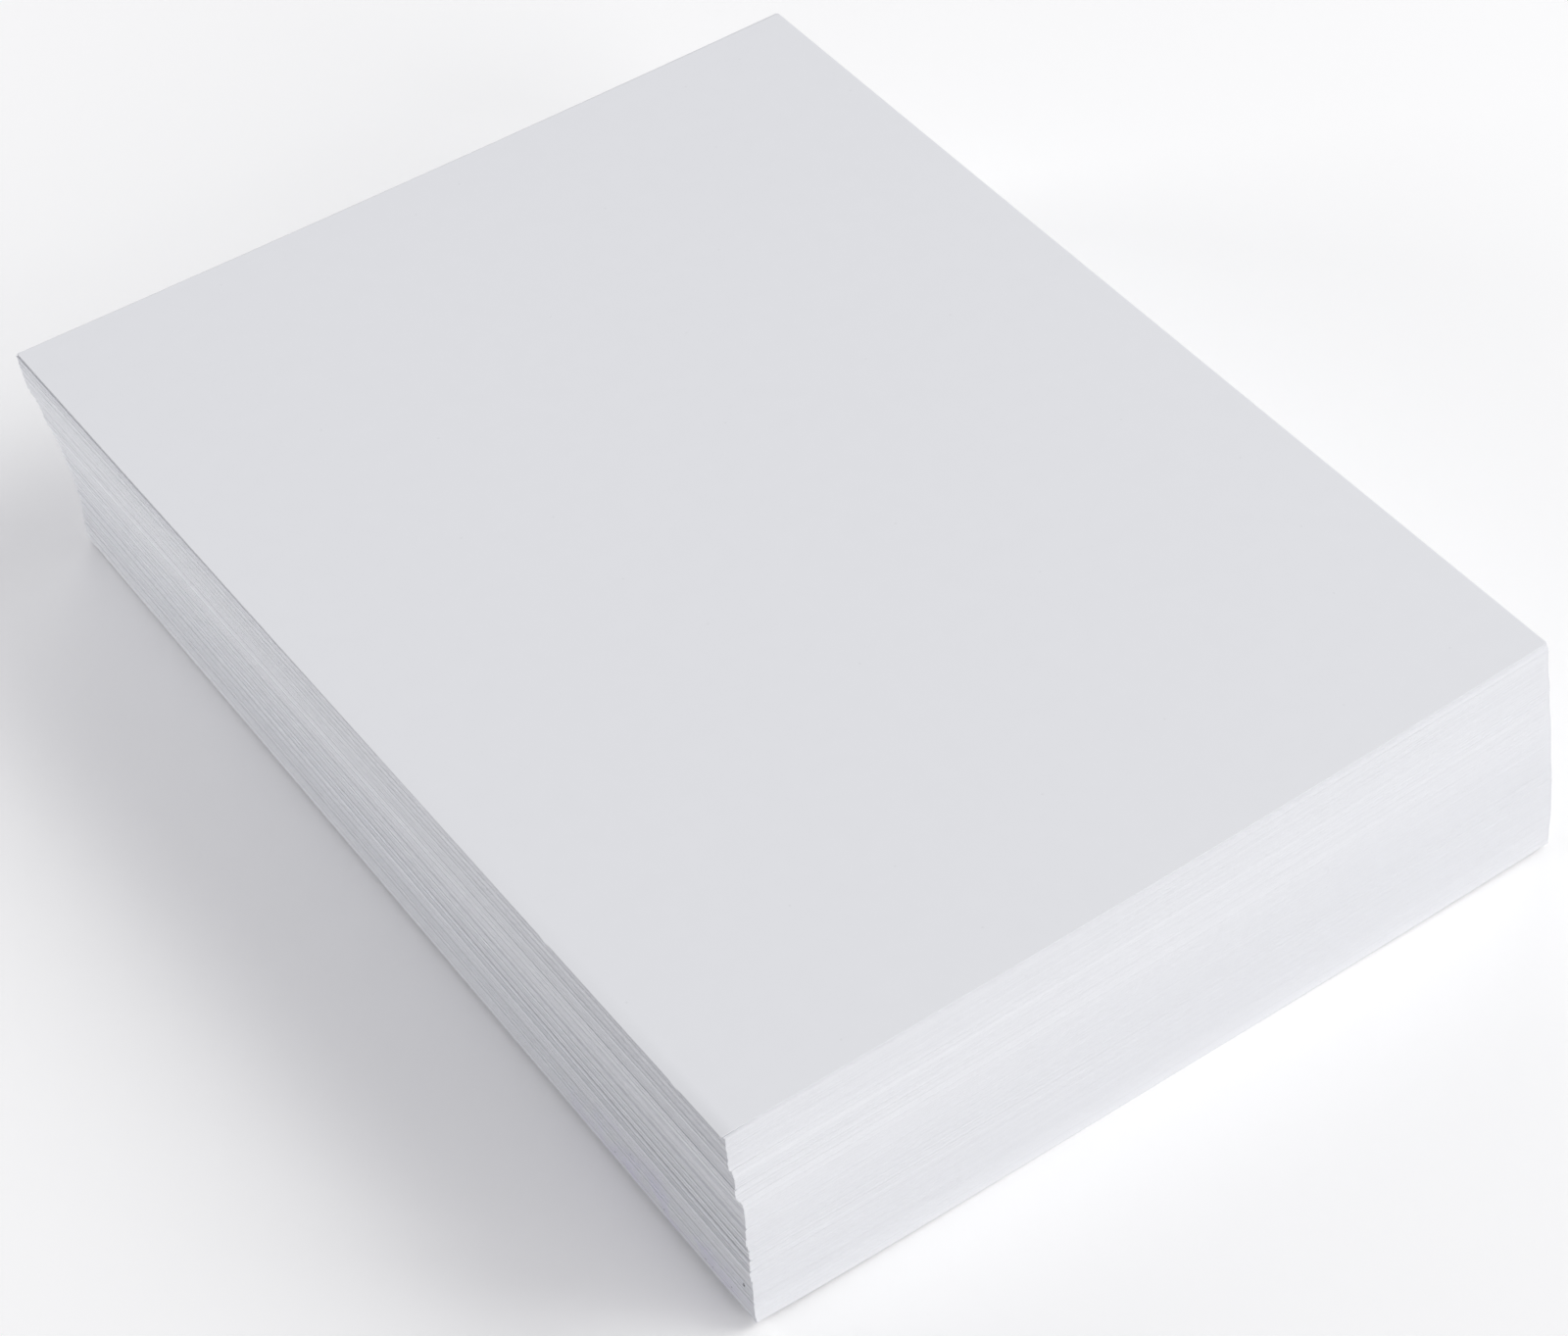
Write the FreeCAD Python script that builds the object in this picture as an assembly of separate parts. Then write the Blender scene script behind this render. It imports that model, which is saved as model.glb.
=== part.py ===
# A ream of letter paper, out of its wrapper: five hundred loose sheets in one pile.
# The pile was handled and set down, so it leans back and to the left in soft steps. Sheets that moved
# together are a lift, a lift is made of smaller hands, and each sheet strays a hair from its hand.
# Millimetres, with +Z up. The origin is the middle of the underside of the bottom sheet, +Y runs along
# that sheet's long side towards the far end, and +X across it to the right.

import FreeCAD
import Part

import math
import os
import random

# The sheet, as the mill cuts it
SHEET_WIDTH = 215.9
SHEET_LENGTH = 279.4
SHEET_CALIPER = 0.119

# The lean of the whole pile: at each share of its height, how far the middle of a sheet lies to the
# right of the bottom sheet's and beyond it, and how far the sheet is turned to the left, in degrees
LEAN = (
    (0.00, 0.0, 0.0, 0.0),
    (0.06, -0.7, -0.45, 0.05),
    (0.11, -0.85, -0.4, 0.05),
    (0.20, -0.2, 0.95, 0.0),
    (0.30, 0.0, 2.15, 0.1),
    (0.40, -0.3, 3.15, 0.2),
    (0.50, -0.6, 4.2, 0.45),
    (0.58, -1.15, 4.75, 0.6),
    (0.64, -2.0, 4.65, 0.65),
    (0.69, -2.8, 4.4, 0.55),
    (0.75, -3.1, 4.85, 0.65),
    (0.83, -4.1, 5.0, 0.8),
    (0.92, -4.55, 5.75, 0.85),
    (1.00, -4.7, 6.4, 0.9),
)

# The lifts from the bottom up: how many sheets each holds, then how far off the lean it slipped to the
# right at its near end, to the right at its far end, and towards the far end
LIFTS = (
    (1, 0.0, 0.0, 0.0),
    (21, 0.1, 0.05, 0.0),
    (21, -0.05, 0.05, 0.0),
    (24, 0.05, 0.1, 0.0),
    (14, 0.1, 0.1, 0.0),
    (12, 0.2, 0.05, 0.0),
    (19, 0.15, 0.0, 0.0),
    (22, -0.1, 0.0, -0.03),
    (12, -0.15, 0.0, 0.0),
    (14, 0.0, 0.05, 0.0),
    (21, 0.2, 0.0, 0.03),
    (17, 0.15, -0.05, 0.03),
    (18, -0.05, 0.0, 0.0),
    (21, -0.05, 0.0, -0.03),
    (18, 0.05, 0.05, 0.0),
    (24, 0.05, 0.05, 0.0),
    (21, 0.15, 0.05, 0.0),
    (22, 0.1, 0.05, 0.0),
    (19, -0.1, 0.1, 0.0),
    (19, 0.05, 0.2, 0.0),
    (23, 0.15, 0.1, 0.0),
    (34, 0.2, 0.2, 0.0),
    (24, -0.25, 0.1, -0.02),
    (18, 0.0, 0.1, 0.0),
    (20, 0.0, 0.05, 0.0),
    (10, 0.1, 0.0, 0.02),
    (8, 0.1, 0.0, 0.02),
    (2, -0.4, 0.0, -0.1),
    (1, -0.8, 0.3, -0.2),
)

# Sheets that were pushed in at their near end and stayed in line at the far one: the number of the first of
# them from the bottom, how many, and how far to the right of their lift its near end lies
PUSHED_IN = (
    (42, 1, 0.2),
    (63, 1, 0.2),
    (94, 1, 0.2),
    (106, 1, 0.2),
    (121, 1, 0.15),
    (134, 2, 0.25),
    (142, 1, 0.2),
    (160, 2, 0.35),
    (183, 2, 0.35),
    (214, 1, 0.15),
    (223, 1, 0.15),
    (239, 2, 0.3),
    (252, 1, 0.2),
    (360, 2, 0.35),
    (367, 1, 0.2),
    (373, 1, 0.2),
    (379, 1, 0.2),
    (446, 1, 0.15),
)

# A hand is the few sheets of a lift that a thumb takes up at once. How many sheets it holds at the least
# and the most, and how far it slips, as spreads. The short sides were knocked level, so it slips less along
HAND_SHEET_COUNTS = (3, 9)
HAND_ACROSS = 0.05
HAND_ALONG = 0.015

# How far a single sheet strays from its hand and turns against it, as spreads in mm and degrees
STRAY_ACROSS = 0.025
STRAY_ALONG = 0.01
SHEET_TURN = 0.005

# Settles which way every hand and sheet went
SEED = 110

SHEET_COUNT = sum(lift[0] for lift in LIFTS)


def lean_curve():
    """The lean as one smooth curve of (across, along, turn) over the share of the pile's height."""
    curve = Part.BSplineCurve()
    curve.interpolate(
        Points=[FreeCAD.Vector(across, along, turn) for _, across, along, turn in LEAN],
        Parameters=[row[0] for row in LEAN],
    )
    return curve


def sheet(across, along, turn, underside):
    """One sheet: the cut rectangle, turned about its middle and laid in its place."""
    near_left = FreeCAD.Vector(-SHEET_WIDTH / 2, -SHEET_LENGTH / 2, 0)
    solid = Part.makeBox(SHEET_WIDTH, SHEET_LENGTH, SHEET_CALIPER, near_left)
    solid.Placement = FreeCAD.Placement(
        FreeCAD.Vector(across, along, underside),
        FreeCAD.Rotation(FreeCAD.Vector(0, 0, 1), turn),
    )
    return solid


def hands(count, chance):
    """Shares out a lift's sheets into hands. Gives, for each sheet, how far its hand slipped both ways."""
    slips = []
    while len(slips) < count:
        taken = min(chance.randint(*HAND_SHEET_COUNTS), count - len(slips))
        slip = (chance.gauss(0, HAND_ACROSS), chance.gauss(0, HAND_ALONG))
        slips += [slip] * taken
    return slips


def pushed_in(number):
    """How far the near end of the sheet of this number was pushed in."""
    return sum(depth for first, count, depth in PUSHED_IN if first <= number < first + count)


def lift(first, count, slip_near, slip_far, slip_along, curve, chance):
    """The sheets of one lift. The first one lies on as many sheets as its number says."""
    sheets = []
    for number, (hand_across, hand_along) in enumerate(hands(count, chance), first):
        lean = curve.value((number + 0.5) / SHEET_COUNT)
        near = slip_near + pushed_in(number)
        slip_across = (near + slip_far) / 2
        slip_turn = math.degrees((near - slip_far) / SHEET_LENGTH)
        across = lean.x + slip_across + hand_across + chance.gauss(0, STRAY_ACROSS)
        along = lean.y + slip_along + hand_along + chance.gauss(0, STRAY_ALONG)
        turn = lean.z + slip_turn + chance.gauss(0, SHEET_TURN)
        sheets.append(sheet(across, along, turn, number * SHEET_CALIPER))
    return sheets


def main():
    os.makedirs("parts", exist_ok=True)
    curve = lean_curve()
    chance = random.Random(SEED)
    last = len(LIFTS) - 1
    names = {0: "bottom_sheet", last: "top_sheet"}
    first = 0
    for index, (count, slip_near, slip_far, slip_along) in enumerate(LIFTS):
        if index == 0:
            sheets = [sheet(0, 0, 0, 0)]
        else:
            sheets = lift(first, count, slip_near, slip_far, slip_along, curve, chance)
        name = names.get(index, f"lift_{index:02d}")
        Part.makeCompound(sheets).exportStep(f"parts/{name}.step")
        first += count


main()
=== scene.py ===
import math

import bpy
import numpy as np
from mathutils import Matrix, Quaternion, Vector


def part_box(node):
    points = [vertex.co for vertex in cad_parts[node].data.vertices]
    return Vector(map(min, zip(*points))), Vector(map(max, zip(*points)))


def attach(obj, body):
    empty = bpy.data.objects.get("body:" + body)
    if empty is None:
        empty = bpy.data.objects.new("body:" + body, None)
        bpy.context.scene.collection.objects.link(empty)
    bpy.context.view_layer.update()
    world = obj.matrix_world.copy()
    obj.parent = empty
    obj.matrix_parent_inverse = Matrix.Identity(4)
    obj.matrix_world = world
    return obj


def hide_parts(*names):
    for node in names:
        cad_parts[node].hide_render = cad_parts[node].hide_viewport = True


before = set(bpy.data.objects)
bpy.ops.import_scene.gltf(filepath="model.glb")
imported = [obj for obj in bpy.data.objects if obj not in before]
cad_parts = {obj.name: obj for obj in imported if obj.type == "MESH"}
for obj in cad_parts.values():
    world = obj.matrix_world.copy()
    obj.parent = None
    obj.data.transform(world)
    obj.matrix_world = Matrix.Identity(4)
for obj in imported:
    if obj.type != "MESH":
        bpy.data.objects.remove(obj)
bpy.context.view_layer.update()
mm = 0.001

# The camera
# A short telephoto held above the near left corner of the pile, looking down across it to the far right.
# The picture was cropped a little off the lens's axis, and that is the shift.
CAMERA_PLACE = Vector((-347.2, -508.0, 652.2)) * mm
CAMERA_AIM = Vector((-12.5, -55.3, 61.5)) * mm
CAMERA_ROLL = 0.117
CAMERA_LENS = 88.54
CAMERA_SENSOR = 36.0
CAMERA_SHIFT = -0.068

camera_data = bpy.data.cameras.new("camera")
camera_data.lens = CAMERA_LENS
camera_data.sensor_width = CAMERA_SENSOR
camera_data.sensor_fit = "HORIZONTAL"
camera_data.shift_x = CAMERA_SHIFT
camera_data.clip_start = 0.01
camera_data.clip_end = 50.0
camera = bpy.data.objects.new("camera", camera_data)
camera.location = CAMERA_PLACE
level_camera = (CAMERA_AIM - CAMERA_PLACE).to_track_quat("-Z", "Y")
camera.rotation_euler = (level_camera @ Quaternion((0, 0, 1), math.radians(CAMERA_ROLL))).to_euler()
bpy.context.scene.collection.objects.link(camera)
bpy.context.scene.camera = camera

# The table and the light
# A plain pale sweep under the pile, in a soft room. Broad soft boxes stand in front of the short near side,
# high on the right and behind, and a small low one lights the far part of the long left side, else in shade.
# They light the pile but don't show themselves.
TABLE_HALF = 6.0
TABLE_COLOUR = (0.985, 0.985, 0.99)
ROOM_COLOUR = (0.9425, 0.939, 1.0)
ROOM_STRENGTH = 0.39

table_mesh = bpy.data.meshes.new("table")
table_mesh.from_pydata(
    [(x, y, 0.0) for x, y in ((-TABLE_HALF, -TABLE_HALF), (TABLE_HALF, -TABLE_HALF),
                              (TABLE_HALF, TABLE_HALF), (-TABLE_HALF, TABLE_HALF))],
    [], [(0, 1, 2, 3)],
)
table = bpy.data.objects.new("table", table_mesh)
bpy.context.scene.collection.objects.link(table)
table_paint = bpy.data.materials.new("table_paint")
table_paint.use_nodes = True
table_shader = table_paint.node_tree.nodes["Principled BSDF"]
table_shader.inputs["Base Color"].default_value = (*TABLE_COLOUR, 1.0)
table_shader.inputs["Roughness"].default_value = 0.9
table_shader.inputs["Specular IOR Level"].default_value = 0.1
table_mesh.materials.append(table_paint)

room = bpy.data.worlds.new("room")
room.use_nodes = True
room.node_tree.nodes["Background"].inputs["Color"].default_value = (*ROOM_COLOUR, 1.0)
room.node_tree.nodes["Background"].inputs["Strength"].default_value = ROOM_STRENGTH
bpy.context.scene.world = room

SOFT_BOXES = {
    "front_box": {"place": (0.5, -2.2, 0.9), "size": 1.4, "power": 17.38, "colour": (1.0, 0.983, 0.954)},
    "right_box": {"place": (1.6, -1.0, 1.8), "size": 1.6, "power": 37.1, "colour": (0.995, 1.0, 0.968)},
    "back_box": {"place": (1.2, 1.8, 1.6), "size": 1.4, "power": 7.99, "colour": (0.995, 1.0, 0.968)},
    "low_box": {"place": (-0.75, 0.75, 0.26), "size": 0.4, "power": 4.24, "colour": (1.0, 0.993, 0.963)},
}
for name, box in SOFT_BOXES.items():
    light_data = bpy.data.lights.new(name, "AREA")
    light_data.size = box["size"]
    light_data.energy = box["power"]
    light_data.color = box["colour"]
    light = bpy.data.objects.new(name, light_data)
    light.location = box["place"]
    light.visible_camera = False
    light.rotation_euler = (-Vector(box["place"])).to_track_quat("-Z", "Y").to_euler()
    bpy.context.scene.collection.objects.link(light)
bpy.context.scene.view_settings.view_transform = "Standard"
bpy.context.scene.view_settings.look = "None"

# The paper
# Bleached wood pulp with a little blue dye, pressed smooth and left uncoated. Its face shows faint clouds
# where the fibres lie thicker, and the guillotine leaves the cut edges rough, with a trace of dust.
PAPER_COLOUR = (0.775, 0.783, 0.812)
CLOUD_SIZE = 6.0 * mm
CLOUD_DEPTH = 0.004
FIBRE_SIZE = 0.12 * mm
FIBRE_DEPTH = 0.01 * mm

# Dust: how far apart its specks may lie, how wide and how dark one is, and the share of the places that
# hold one. Outside the stain the specks of the long sides are fainter, by this share
FACE_SPECK = {"spacing": 26 * mm, "radius": 0.35 * mm, "depth": 0.05, "share": 0.4}
SHORT_SPECK = {"spacing": 9 * mm, "radius": 0.35 * mm, "depth": 0.04, "share": 0.4}
LONG_SPECK = {"spacing": 5 * mm, "radius": 0.3 * mm, "depth": 0.75, "share": 0.35}
LONG_SPECKS_ELSEWHERE = 0.12

# The cut edges: thin lines along the sheets, painted shade and light of edges that step in and out, and a
# fine grain. The long sides are painted darker towards their near end, for the shade there. Low on the left
# side are a stain of blue dye and one dot of ink, each given by its place and reach
LINE_RUN = 90 * mm
LONG_LINES = {"rise": 0.42 * mm, "depth": 0.075}
SHORT_LINES = {"rise": 0.24 * mm, "depth": 0.022}
GRAIN_SIZE = 0.5 * mm
GRAIN_DEPTH = 0.016
NEAR_END = -140 * mm
NEAR_END_SHADE_DEPTH = 0.11
NEAR_END_SHADE_REACH = 120 * mm
INK_DOT_PLACE = (-110 * mm, -136.1 * mm, 11.2 * mm)
INK_DOT_REACH = (60 * mm, 0.5 * mm, 0.5 * mm)
INK_LEFT = 0.03
DYE_CAST = (0.95, 0.92, 1.03)
DYE_PATCH = 7 * mm
DYE_PLACE = (-110 * mm, -106 * mm, 5 * mm)
DYE_REACH = (60 * mm, 42 * mm, 12 * mm)


def new_material(name):
    """A material with its shader, its coordinates in metres, and a short way to add and join nodes."""
    material = bpy.data.materials.new(name)
    material.use_nodes = True
    tree = material.node_tree
    shader = tree.nodes["Principled BSDF"]
    where = tree.nodes.new("ShaderNodeTexCoord").outputs["Object"]

    def add(kind, links=(), **settings):
        node = tree.nodes.new(kind)
        for key, value in settings.items():
            setattr(node, key, value)
        for socket, source in links:
            if isinstance(source, bpy.types.NodeSocket):
                tree.links.new(source, node.inputs[socket])
            else:
                node.inputs[socket].default_value = source
        return node

    return material, tree, shader, where, add


def swing(add, noise, depth, low=0.3, high=0.7):
    """A factor round 1 that swings by the depth with a noise."""
    return add("ShaderNodeMapRange", [("Value", noise.outputs["Fac"]), ("From Min", low), ("From Max", high),
                                      ("To Min", 1 - depth), ("To Max", 1 + depth)]).outputs["Result"]


def times(add, first, second):
    """The product of two values."""
    return add("ShaderNodeMath", [(0, first), (1, second)], operation="MULTIPLY").outputs["Value"]


def less(add, name):
    """1 less the attribute of this name, in which a mesh carries how much its paper is darkened."""
    darkness = add("ShaderNodeAttribute", attribute_name=name).outputs["Fac"]
    return add("ShaderNodeMath", [(0, 1.0), (1, darkness)], operation="SUBTRACT").outputs["Value"]


def specks(add, where, speck):
    """A factor of 1 with dark specks strewn in it, on the plane of the first two coordinates."""
    cells = add("ShaderNodeTexVoronoi", [("Vector", where), ("Scale", 1 / speck["spacing"])],
                voronoi_dimensions="2D")
    shape = add("ShaderNodeMapRange", [("Value", cells.outputs["Distance"]),
                                       ("From Min", 0.6 * speck["radius"] / speck["spacing"]),
                                       ("From Max", speck["radius"] / speck["spacing"]),
                                       ("To Min", speck["depth"]), ("To Max", 0.0)])
    chosen = add("ShaderNodeMath", [(0, cells.outputs["Color"]), (1, speck["share"])], operation="LESS_THAN")
    dark = times(add, shape.outputs["Result"], chosen.outputs["Value"])
    return add("ShaderNodeMath", [(0, 1.0), (1, dark)], operation="SUBTRACT").outputs["Value"]


def paper_face():
    """The flat of a sheet: clouds in the pulp for colour, and felted fibres for the surface."""
    material, tree, shader, where, add = new_material("paper_face")
    clouds = add("ShaderNodeTexNoise", [("Vector", where), ("Scale", 1 / CLOUD_SIZE), ("Detail", 3.0)])
    pulp = times(add, swing(add, clouds, CLOUD_DEPTH), specks(add, where, FACE_SPECK))
    # Painted shade from the attribute: the top sheet's drooping left margin is darker
    shade = times(add, less(add, "margin_shade"), pulp)
    tone = add("ShaderNodeVectorMath", [(0, PAPER_COLOUR), ("Scale", shade)], operation="SCALE")
    fibres = add("ShaderNodeTexNoise", [("Vector", where), ("Scale", 1 / FIBRE_SIZE), ("Detail", 4.0),
                                        ("Roughness", 0.7)])
    felt = add("ShaderNodeBump", [("Height", fibres.outputs["Fac"]), ("Strength", 0.15),
                                  ("Distance", FIBRE_DEPTH)])
    tree.links.new(tone.outputs["Vector"], shader.inputs["Base Color"])
    tree.links.new(felt.outputs["Normal"], shader.inputs["Normal"])
    shader.inputs["Roughness"].default_value = 0.85
    shader.inputs["Specular IOR Level"].default_value = 0.25
    return material


def nearness(add, place, middle, reach, full, none):
    """1 near a middle and 0 away from it, with the distance counted in reaches."""
    off = add("ShaderNodeVectorMath", [(0, place), (1, middle)], operation="SUBTRACT")
    shares = add("ShaderNodeVectorMath", [(0, off.outputs["Vector"]), (1, reach)], operation="DIVIDE")
    away = add("ShaderNodeVectorMath", [(0, shares.outputs["Vector"])], operation="LENGTH")
    return add("ShaderNodeMapRange", [("Value", away.outputs["Value"]),
                                      ("From Min", full), ("From Max", none),
                                      ("To Min", 1.0), ("To Max", 0.0)]).outputs["Result"]


def between(add, low, high, factor):
    """A value between two others."""
    return add("ShaderNodeMapRange", [("Value", factor), ("To Min", low), ("To Max", high)]).outputs["Result"]


def cut_edge(add, where, lines):
    """The shade of a cut edge: painted shade and light in thin lines that run with the sheets, and a fine
    grain.
    """
    stretch = add("ShaderNodeVectorMath", [(0, where), (1, (1 / LINE_RUN, 1 / LINE_RUN, 1 / lines["rise"]))],
                  operation="MULTIPLY")
    layers = add("ShaderNodeTexNoise", [("Vector", stretch.outputs["Vector"]), ("Scale", 1.0),
                                        ("Detail", 2.5), ("Roughness", 0.7)])
    grain = add("ShaderNodeTexNoise", [("Vector", where), ("Scale", 1 / GRAIN_SIZE), ("Detail", 3.0),
                                       ("Roughness", 0.6)])
    return times(add, swing(add, layers, lines["depth"], 0.2, 0.8), swing(add, grain, GRAIN_DEPTH))


def long_edge():
    """The long cut sides: painted shade towards the near end, with specks of dirt and a stain of blue dye."""
    material, tree, shader, where, add = new_material("paper_long_edge")
    apart = add("ShaderNodeSeparateXYZ", [(0, where)])
    side = add("ShaderNodeCombineXYZ", [(0, apart.outputs["Y"]), (1, apart.outputs["Z"])]).outputs["Vector"]
    stained = nearness(add, where, DYE_PLACE, DYE_REACH, 0.35, 1.0)
    darkening = between(add, 1.0, specks(add, side, LONG_SPECK), between(add, LONG_SPECKS_ELSEWHERE, 1.0, stained))
    dot = between(add, 1.0, INK_LEFT, nearness(add, where, INK_DOT_PLACE, INK_DOT_REACH, 0.7, 1.0))
    # Painted shade: the long sides darken towards their near end
    near_end_shade = add("ShaderNodeMapRange", [("Value", apart.outputs["Y"]), ("From Min", NEAR_END),
                                        ("From Max", NEAR_END + NEAR_END_SHADE_REACH),
                                        ("To Min", 1 - NEAR_END_SHADE_DEPTH), ("To Max", 1.0)],
                 interpolation_type="SMOOTHSTEP")
    painted_shading = times(add, less(add, "long_shade"), near_end_shade.outputs["Result"])
    shade = times(add, times(add, cut_edge(add, where, LONG_LINES), times(add, darkening, dot)), painted_shading)
    tone = add("ShaderNodeVectorMath", [(0, PAPER_COLOUR), ("Scale", shade)], operation="SCALE")
    patches = add("ShaderNodeTexNoise", [("Vector", where), ("Scale", 1 / DYE_PATCH), ("Detail", 2.0)])
    patch = add("ShaderNodeMapRange", [("Value", patches.outputs["Fac"]),
                                       ("From Min", 0.42), ("From Max", 0.6),
                                       ("To Min", 0.0), ("To Max", 1.0)])
    dyed = add("ShaderNodeVectorMath", [(0, tone.outputs["Vector"]), (1, DYE_CAST)], operation="MULTIPLY")
    amount = times(add, patch.outputs["Result"], stained)
    cast = add("ShaderNodeMix", [("Factor", amount)], data_type="VECTOR")
    tree.links.new(tone.outputs["Vector"], cast.inputs[4])
    tree.links.new(dyed.outputs["Vector"], cast.inputs[5])
    tree.links.new(cast.outputs[1], shader.inputs["Base Color"])
    shader.inputs["Roughness"].default_value = 0.9
    shader.inputs["Specular IOR Level"].default_value = 0.15
    return material


def short_edge():
    """The short cut sides, knocked level on a table, with faint specks and fainter painted lines of shade and
    light.
    """
    material, tree, shader, where, add = new_material("paper_short_edge")
    apart = add("ShaderNodeSeparateXYZ", [(0, where)])
    side = add("ShaderNodeCombineXYZ", [(0, apart.outputs["X"]), (1, apart.outputs["Z"])]).outputs["Vector"]
    lines_and_specks = times(add, cut_edge(add, where, SHORT_LINES), specks(add, side, SHORT_SPECK))
    shade = times(add, less(add, "short_shade"), lines_and_specks)
    tone = add("ShaderNodeVectorMath", [(0, PAPER_COLOUR), ("Scale", shade)], operation="SCALE")
    tree.links.new(tone.outputs["Vector"], shader.inputs["Base Color"])
    shader.inputs["Roughness"].default_value = 0.9
    shader.inputs["Specular IOR Level"].default_value = 0.15
    return material


FINISHES = (paper_face(), long_edge(), short_edge())
FACE_SLOT, LONG_SLOT, SHORT_SLOT = range(3)

# The sheets
# Five hundred loose sheets, each as the guillotine left it. The pile has dried into a faint trough across
# its width, so both long sides stand a little higher than its middle, and air is caught between lifts.
PAPER_THICK = 0.105 * mm

# A sheet is drawn as a rim, and a ring of this inset inside it. The rim's points crowd towards its corners
INSET = 22 * mm
ACROSS_STEPS = 18
ALONG_STEPS = 22
CROWDING = 0.13

# The trough at the bottom and at the top of the pile: how far both long sides stand up, and how much more
# the right one does than the left, at the near end, at the far end, and against the mean of both midway.
# They are in mm, at half the width of a sheet from the middle. The lowest tip at the near left bends up more,
# and the middle of the pile sags a hair under its own weight
HALF_WIDTH = 108 * mm
HALF_LENGTH = 140 * mm
TROUGH_AT_BOTTOM = ((1.2, 0.05), (0.45, 0.0), (0.0, 0.0))
TROUGH_AT_TOP = ((1.75, 0.45), (0.65, -0.2), (-0.33, 0.0))
TIP_RISE = 0.8 * mm
TIP_REACH = 12 * mm
SAG = 0.25 * mm

# The air between the sheets: how much its waves round the rim vary, and the least share of the mean
AIR_SEED = 5
AIR_WAVES = 3
AIR_VARIES = 0.3
AIR_LEAST = 0.15

# Where the pile gapes: under which sheet and how wide, in mm, and how far that reaches from its corner
NEAR_GAPES = {499: 0.45, 360: 0.12, 239: 0.1, 183: 0.08, 160: 0.08, 134: 0.08}
FAR_GAPES = {499: 0.2, 488: 0.3, 478: 0.1}
GAPE_REACH = 110 * mm
ROUND_CORNER_REACH = 2.5 * mm

# Sheets whose near left corner is drawn in: the first of them, how many, and how far, in mm
DRAWN_IN = ((160, 4, -0.1), (239, 2, -0.1), (361, 3, 0.05), (497, 2, 0.3))

# Over how many sheets the corners of the near side are evened out, along at the left and right and across at
# the right, and how much of it is done. At the right it was knocked level, and the sheets slid across with it
EVEN_LEFT = 10
EVEN_LEFT_SHARE = 0.5
EVEN_RIGHT = 40
EVEN_FINE = 5
FINE_STEPS_LEFT = 0.45
EVEN_ACROSS = 15
SLIDE = 0.4

# Painted light and shade on the long sides by height: at each share of the pile's height, against the paper's
# own
LIGHT_AND_SHADE_BY_HEIGHT = ((0.0, 0.98), (0.133, 1.0), (0.2, 1.03), (0.283, 1.067), (0.36, 1.04), (0.433, 1.018),
                  (0.583, 0.994), (0.733, 0.982), (0.883, 0.976), (1.0, 0.976))

# Sheets whose long edges at the near end are painted darker, for the shade in the gaps between them: the
# first, how many, and how much it darkens them. Below 0 they are painted lighter, for the light on sheets
# that stand out
PAINTED_LINES = ((40, 2, 0.1), (63, 2, 0.12), (94, 2, 0.1), (134, 4, 0.36), (160, 4, 0.36), (184, 5, 0.36),
         (214, 2, 0.1), (224, 2, 0.08), (281, 4, -0.1), (361, 3, 0.05), (435, 4, -0.12), (469, 4, 0.08),
         (497, 2, 0.1))

# A sheet that lies a hair back from its neighbours is shaded by them: how much on the long and on the
# short sides
LONG_SHADE = 0.04
SHORT_SHADE = 0.009

# The share of that shade that fades out towards the far end of a long side and the right end of a short one
FADE_ALONG = 0.85
FADE_ACROSS = 0.5


def cad_sheets(node):
    """The sheets of a node from the bottom up: the height of each underside and its four corners."""
    mesh = node.data
    found = {}
    for polygon in mesh.polygons:
        if polygon.normal.z < -0.9:
            for index in polygon.vertices:
                point = mesh.vertices[index].co
                corners = found.setdefault(round(point.z, 6), {})
                corners[(round(point.x, 6), round(point.y, 6))] = (point.x, point.y)
    sheets = []
    for height in sorted(found):
        points = np.array(list(found[height].values()))
        assert len(points) == 4
        around = points - points.mean(0)
        sheets.append((height, points[np.argsort(np.arctan2(around[:, 1], around[:, 0]))]))
    return sheets


def rim_shares():
    """Points round a sheet from the near left corner, as shares of its width and length."""
    rim = []
    corners = ((0, 0), (1, 0), (1, 1), (0, 1))
    for index, (x, y) in enumerate(corners):
        next_x, next_y = corners[(index + 1) % 4]
        steps = ACROSS_STEPS if index % 2 == 0 else ALONG_STEPS
        for step in range(steps):
            share = step / steps
            share -= CROWDING * math.sin(2 * math.pi * share)
            rim.append((x + (next_x - x) * share, y + (next_y - y) * share))
    return np.array(rim)


RIM = rim_shares()
sheets_of = {name: cad_sheets(node) for name, node in sorted(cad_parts.items())}
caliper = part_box("bottom_sheet")[1].z
SHEET_COUNT = sum(len(sheets) for sheets in sheets_of.values())
PILE_HEIGHT = SHEET_COUNT * caliper


def rim_points(corners, inset):
    """The rim of a sheet, drawn in from its edge by the inset, in metres."""
    near_left, near_right, _, far_left = corners
    width = np.linalg.norm(near_right - near_left)
    length = np.linalg.norm(far_left - near_left)
    low = np.array([inset / width, inset / length])
    shares = low + RIM * (1 - 2 * low)
    a, b = shares[:, :1], shares[:, 1:]
    return near_left + a * (near_right - near_left) + b * (far_left - near_left)


def one_trough(points, rows):
    """How far a trough stands up at these points, from its rows for the near end, the far end and midway."""
    across = points[:, 0] / HALF_WIDTH
    along = (points[:, 1] + HALF_LENGTH) / (2 * HALF_LENGTH)
    near, far, midway = (rise * across ** 2 + tilt * across for rise, tilt in rows)
    return mm * ((1 - along) * near + along * far + 4 * along * (1 - along) * midway)


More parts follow.
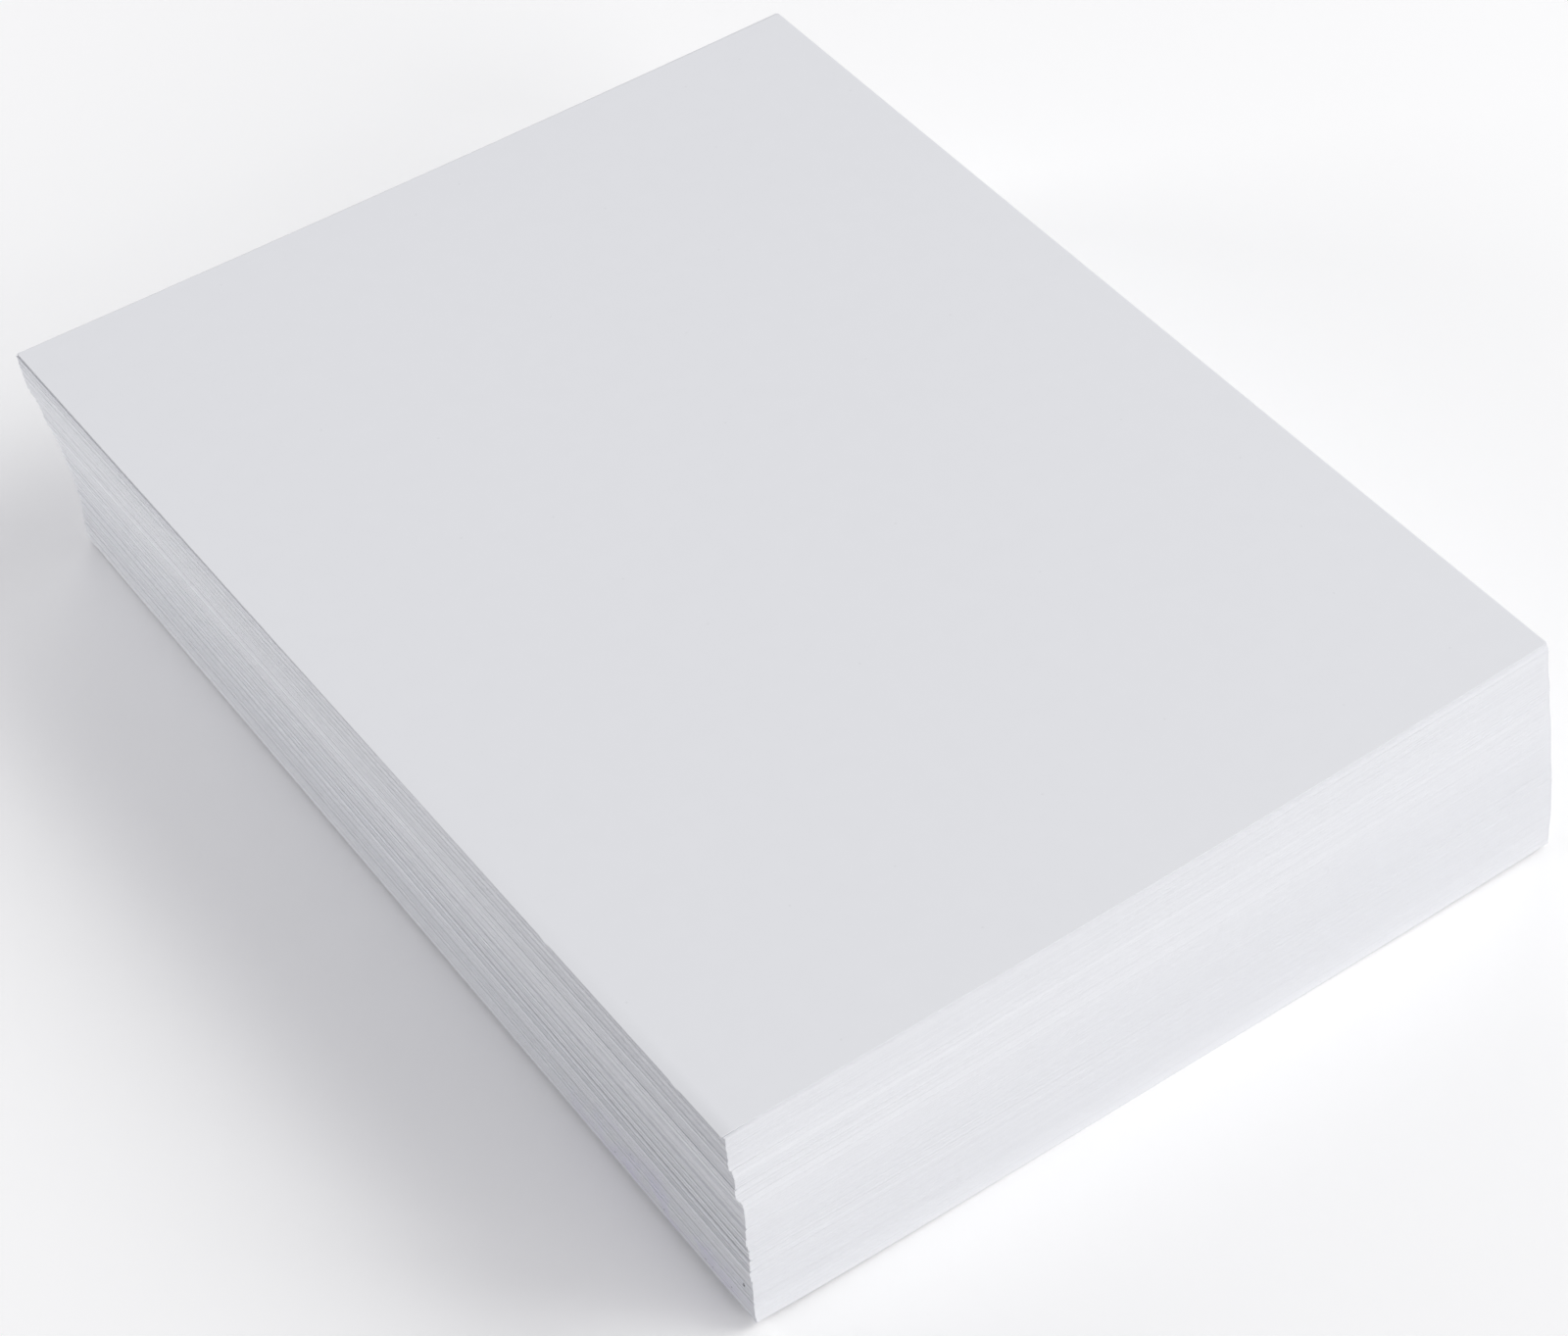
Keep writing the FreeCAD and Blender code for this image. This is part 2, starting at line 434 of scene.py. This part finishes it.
def trough(points, share):
    """How far a sheet stands up at these points, where this share of the pile's air is below it."""
    return one_trough(points, TROUGH_AT_BOTTOM) * (1 - share) + one_trough(points, TROUGH_AT_TOP) * share


def corner_reach(points, corner, reach_along, reach_across):
    """1 at a left corner, and down to 0 with the distance from it along and across."""
    along = np.abs(points[:, 1] - corner[1])
    across = np.abs(points[:, 0] - corner[0])
    return np.exp(-along / reach_along - across / reach_across)


# The air below every sheet at each point of its rim: in slow waves round it, and more where the pile gapes
NEAR_LEFT = np.array([-HALF_WIDTH, -HALF_LENGTH])
FAR_LEFT = np.array([-HALF_WIDTH, HALF_LENGTH])
chance = np.random.default_rng(AIR_SEED)
free_air = PILE_HEIGHT - SHEET_COUNT * PAPER_THICK
places_round = np.linspace(0, 2 * np.pi, len(RIM), endpoint=False)
waves = chance.normal(0, 1, (SHEET_COUNT, AIR_WAVES, 2))
air = np.ones((SHEET_COUNT, len(RIM)))
for wave in range(AIR_WAVES):
    turns = (wave + 1) * places_round
    air += AIR_VARIES * (waves[:, wave, :1] * np.cos(turns) + waves[:, wave, 1:] * np.sin(turns))
air = np.clip(air, AIR_LEAST, None) * free_air / SHEET_COUNT
bottom_rim = rim_points(sheets_of["bottom_sheet"][0][1], 0)
gapes = np.zeros_like(air)
for corner, table, reach in ((NEAR_LEFT, NEAR_GAPES, GAPE_REACH), (FAR_LEFT, FAR_GAPES, GAPE_REACH / 2)):
    for number, gape in table.items():
        gapes[number] += gape * mm * corner_reach(bottom_rim, corner, reach, ROUND_CORNER_REACH)
air = air * (free_air - gapes.sum(0)) / air.sum(0) + gapes
air_below = np.cumsum(air, 0)

# How far each sheet is drawn in, how much painted shade darkens its edge in the gaps, and how much its
# neighbours shade it
drawn_in = np.zeros(SHEET_COUNT)
for first, count, depth in DRAWN_IN:
    drawn_in[first:first + count] += depth * mm
line_shade = np.zeros(SHEET_COUNT)
for first, count, darkening in PAINTED_LINES:
    line_shade[first:first + count] += darkening
shaded = np.convolve(chance.normal(0, 1, SHEET_COUNT + 2), np.full(3, 3 ** -0.5), "valid")
shaded = np.clip(shaded, 0, None) ** 2 - 0.5


def evened(values, reach):
    """The values of all sheets, each averaged with its neighbours over this reach."""
    offsets = np.arange(-3 * reach, 3 * reach + 1)
    weights = np.exp(-0.5 * (offsets / reach) ** 2)
    before = 2 * values[0] - values[len(offsets) // 2:0:-1]
    after = 2 * values[-1] - values[-2:-2 - len(offsets) // 2:-1]
    return np.convolve(np.concatenate([before, values, after]), weights / weights.sum(), "valid")


every_sheet = sorted((sheet for sheets in sheets_of.values() for sheet in sheets), key=lambda sheet: sheet[0])
near_left_corners = np.array([corners[0] for _, corners in every_sheet])
near_right_corners = np.array([corners[1] for _, corners in every_sheet])
left_level = EVEN_LEFT_SHARE * (evened(near_left_corners[:, 1], EVEN_LEFT) - near_left_corners[:, 1])
right_y = near_right_corners[:, 1]
right_level = evened(right_y, EVEN_RIGHT) + FINE_STEPS_LEFT * (right_y - evened(right_y, EVEN_FINE)) - right_y
right_across = evened(near_right_corners[:, 0], EVEN_ACROSS) - near_right_corners[:, 0] + SLIDE * right_level


def leaf_faces():
    """The faces of one leaf and their finishes. Its points are four rings: the rim's, then the middle's."""
    count = len(RIM)
    faces, slots = [], []
    for here in range(count):
        there = (here + 1) % count
        on_right = ACROSS_STEPS <= here < ACROSS_STEPS + ALONG_STEPS
        on_left = here >= count - ALONG_STEPS
        faces.append((here, there, count + there, count + here))
        faces.append((count + here, count + there, 3 * count + there, 3 * count + here))
        faces.append((2 * count + here, 2 * count + there, there, here))
        slots += [LONG_SLOT if on_right or on_left else SHORT_SLOT, FACE_SLOT, FACE_SLOT]
    near = list(range(ACROSS_STEPS + 1))
    far = [(ACROSS_STEPS * 2 + ALONG_STEPS - step) % count for step in near]
    for step in range(ACROSS_STEPS):
        strip = [near[step], near[step + 1], far[step + 1], far[step]]
        if step == 0:
            strip = [near[0], near[1], far[1], *range(far[0], count)]
        if step == ACROSS_STEPS - 1:
            strip = [near[step], *range(near[step + 1], far[step + 1] + 1), far[step]]
        faces.append([3 * count + k for k in strip])
        faces.append([2 * count + k for k in reversed(strip)])
        slots += [FACE_SLOT, FACE_SLOT]
    return faces, slots


LEAF_FACES, LEAF_SLOTS = leaf_faces()


def leaf(number, corners):
    """The points and shades of one sheet: its rim rides on the air below it, and its middle lies flat."""
    outer = rim_points(corners, 0)
    inner = rim_points(corners, INSET)
    across, along = RIM.T
    near_share = (1 - along) ** 2
    outer[:, 0] += (drawn_in[number] * (1 - across) ** 4 + right_across[number] * across) * near_share
    outer[:, 1] += (left_level[number] * (1 - across) + right_level[number] * across) * near_share
    share = air_below[number] / free_air
    tip = TIP_RISE * np.exp(-np.linalg.norm(outer - NEAR_LEFT, axis=1) / TIP_REACH) * (1 - share) ** 3
    outer_low = number * PAPER_THICK + air_below[number] + trough(outer, share) + tip
    inner_share = (number + 1) / SHEET_COUNT
    inner_low = number * PAPER_THICK + free_air * inner_share
    inner_low = inner_low + trough(inner, inner_share) - SAG * inner_share ** 2
    rings = [np.column_stack([flat, low + thick])
             for flat, low in ((outer, outer_low), (inner, inner_low)) for thick in (0, PAPER_THICK)]
    # Painted light and shade on the long sides by height
    tone = np.interp((number + 0.5) / SHEET_COUNT, *zip(*LIGHT_AND_SHADE_BY_HEIGHT))
    # Painted shade in the gaps at the near end, and painted light on sheets that stand out
    tone = tone * (1 - line_shade[number] * near_share)
    tone = tone * (1 - LONG_SHADE * shaded[number] * (1 - FADE_ALONG * along))
    shades = {
        "margin_shade": 0 * across,
        "long_shade": 1 - tone,
        "short_shade": SHORT_SHADE * shaded[number] * (1 - FADE_ACROSS * across),
    }
    return np.concatenate(rings), {key: np.tile(shade, len(rings)) for key, shade in shades.items()}


def finish_piece(name, points, faces, slots, shades):
    """The object of a piece, with its three finishes, for the node of that name."""
    mesh = bpy.data.meshes.new("paper_" + name)
    mesh.from_pydata(points.tolist(), [], faces)
    for finish in FINISHES:
        mesh.materials.append(finish)
    mesh.polygons.foreach_set("material_index", slots)
    for key, shade in shades.items():
        mesh.attributes.new(key, "FLOAT", "POINT").data.foreach_set("value", shade)
    mesh.update()
    piece = bpy.data.objects.new("paper_" + name, mesh)
    bpy.context.scene.collection.objects.link(piece)
    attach(piece, "root")
    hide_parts(name)
    return piece


for name, sheets in sheets_of.items():
    if name == "top_sheet":
        continue
    leaves = [leaf(round(height / caliper), corners) for height, corners in sheets]
    points = np.concatenate([leaf_points for leaf_points, _ in leaves])
    shades = {key: np.concatenate([leaf_shades[key] for _, leaf_shades in leaves]) for key in leaves[0][1]}
    starts = range(0, len(points), len(points) // len(leaves))
    faces = [[start + k for k in face] for start in starts for face in LEAF_FACES]
    finish_piece(name, points, faces, LEAF_SLOTS * len(leaves), shades)

# The top sheet
# The last sheet of the pile, slipped a little to the left at its near end. Its left margin droops a hair,
# with the waves of the cut, and is painted a little darker, for the shade of the droop. Its corners are a
# trace blunt from handling.

# The lines of its grid, in mm from each edge
GRID_STEPS = (0, 0.3, 0.6, 1, 1.5, 2.1, 2.8, 3.6, 4.6, 6, 8, 11, 15, 20, 27, 36, 47, 60, 75, 91)
ROW_STEP = 2.5 * mm

# How far the left edge droops at the near end, how wide its margin is and how far along it reaches. The waves
# along it have a length and a share of the droop
DROOP = 0.12 * mm
DROOP_WIDTH = 4.0 * mm
DROOP_REACH = 60 * mm
DROOP_WAVES = ((31 * mm, 0.15), (12 * mm, 0.1))

# How far the underside of the left edge is cut back
UNDERCUT = 0.2 * mm
UNDERCUT_WITHIN = 0.1 * mm

# How much painted shade darkens the left margin, between which widths it ends, and how far along it reaches
MARGIN_SHADE = 0.085
MARGIN_SHADE_WIDTH = (1.2 * mm, 3.4 * mm)
MARGIN_SHADE_REACH = 45 * mm

CORNER_RADIUS = 0.35 * mm


def grid_places(size):
    """Distances from one edge to the other, close together near both."""
    steps = [step * mm for step in GRID_STEPS if step * mm < 0.48 * size]
    return np.array(steps + [size / 2] + [size - step for step in reversed(steps)])


def blunt_corner(place, size):
    """A point of the flat sheet, drawn in where it lies in the square of a corner."""
    middle = size / 2
    off = np.abs(place - middle) - (middle - CORNER_RADIUS)
    if (off <= 0).any():
        return place
    rounded = off / np.linalg.norm(off) * off.max()
    return middle + np.sign(place - middle) * (middle - CORNER_RADIUS + rounded)


def make_top_sheet():
    """The top sheet on a fine grid, both faces and the four cut edges."""
    _, corners = sheets_of["top_sheet"][0]
    near_left, near_right, _, far_left = corners
    size = np.array([np.linalg.norm(near_right - near_left), np.linalg.norm(far_left - near_left)])
    across = (near_right - near_left) / size[0]
    along = (far_left - near_left) / size[1]
    columns, rows = grid_places(size[0]), grid_places(size[1])
    rows = np.unique(np.concatenate([rows, np.arange(ROW_STEP, size[1] - ROW_STEP, ROW_STEP)]))
    places = np.array([blunt_corner(np.array([x, y]), size) for y in rows for x in columns])
    flat_points = near_left + places[:, :1] * across + places[:, 1:] * along
    waves = 1 + sum(part * np.sin(2 * np.pi * places[:, 1] / length) for length, part in DROOP_WAVES)
    droop = DROOP * waves * np.exp(-places[:, 1] / DROOP_REACH)
    droop = droop * np.clip(1 - places[:, 0] / DROOP_WIDTH, 0, 1) ** 2
    low = PILE_HEIGHT - PAPER_THICK + trough(flat_points, 1.0) - droop
    underside = flat_points + UNDERCUT * (places[:, :1] < UNDERCUT_WITHIN) * across
    count = len(places)
    points = np.concatenate([
        np.column_stack([underside, low]),
        np.column_stack([flat_points, low + PAPER_THICK]),
    ])
    faces, slots = [], []
    wide, deep = len(columns), len(rows)
    for row in range(deep - 1):
        for column in range(wide - 1):
            k = row * wide + column
            faces.append((count + k, count + k + 1, count + k + wide + 1, count + k + wide))
            faces.append((k + wide, k + wide + 1, k + 1, k))
            slots += [FACE_SLOT, FACE_SLOT]
    rim = [(k, k + 1, SHORT_SLOT) for k in range(wide - 1)]
    rim += [(k * wide - 1, (k + 1) * wide - 1, LONG_SLOT) for k in range(1, deep)]
    rim += [((deep - 1) * wide + k + 1, (deep - 1) * wide + k, SHORT_SLOT) for k in range(wide - 1)]
    rim += [((k + 1) * wide, k * wide, LONG_SLOT) for k in range(deep - 1)]
    for here, there, slot in rim:
        faces.append((here, there, count + there, count + here))
        slots.append(slot)
    # Painted shade along the drooping left margin, fading along it
    margin_shade = MARGIN_SHADE * np.interp(places[:, 0], MARGIN_SHADE_WIDTH, (1, 0)) * np.exp(-places[:, 1] / MARGIN_SHADE_REACH)
    shades = {"margin_shade": margin_shade, "long_shade": 0 * margin_shade, "short_shade": 0 * margin_shade}
    shades = {key: np.tile(shade, 2) for key, shade in shades.items()}
    piece = finish_piece("top_sheet", points, faces, slots, shades)
    piece.data.polygons.foreach_set("use_smooth", [slot == FACE_SLOT for slot in slots])
    piece.data.update()


make_top_sheet()
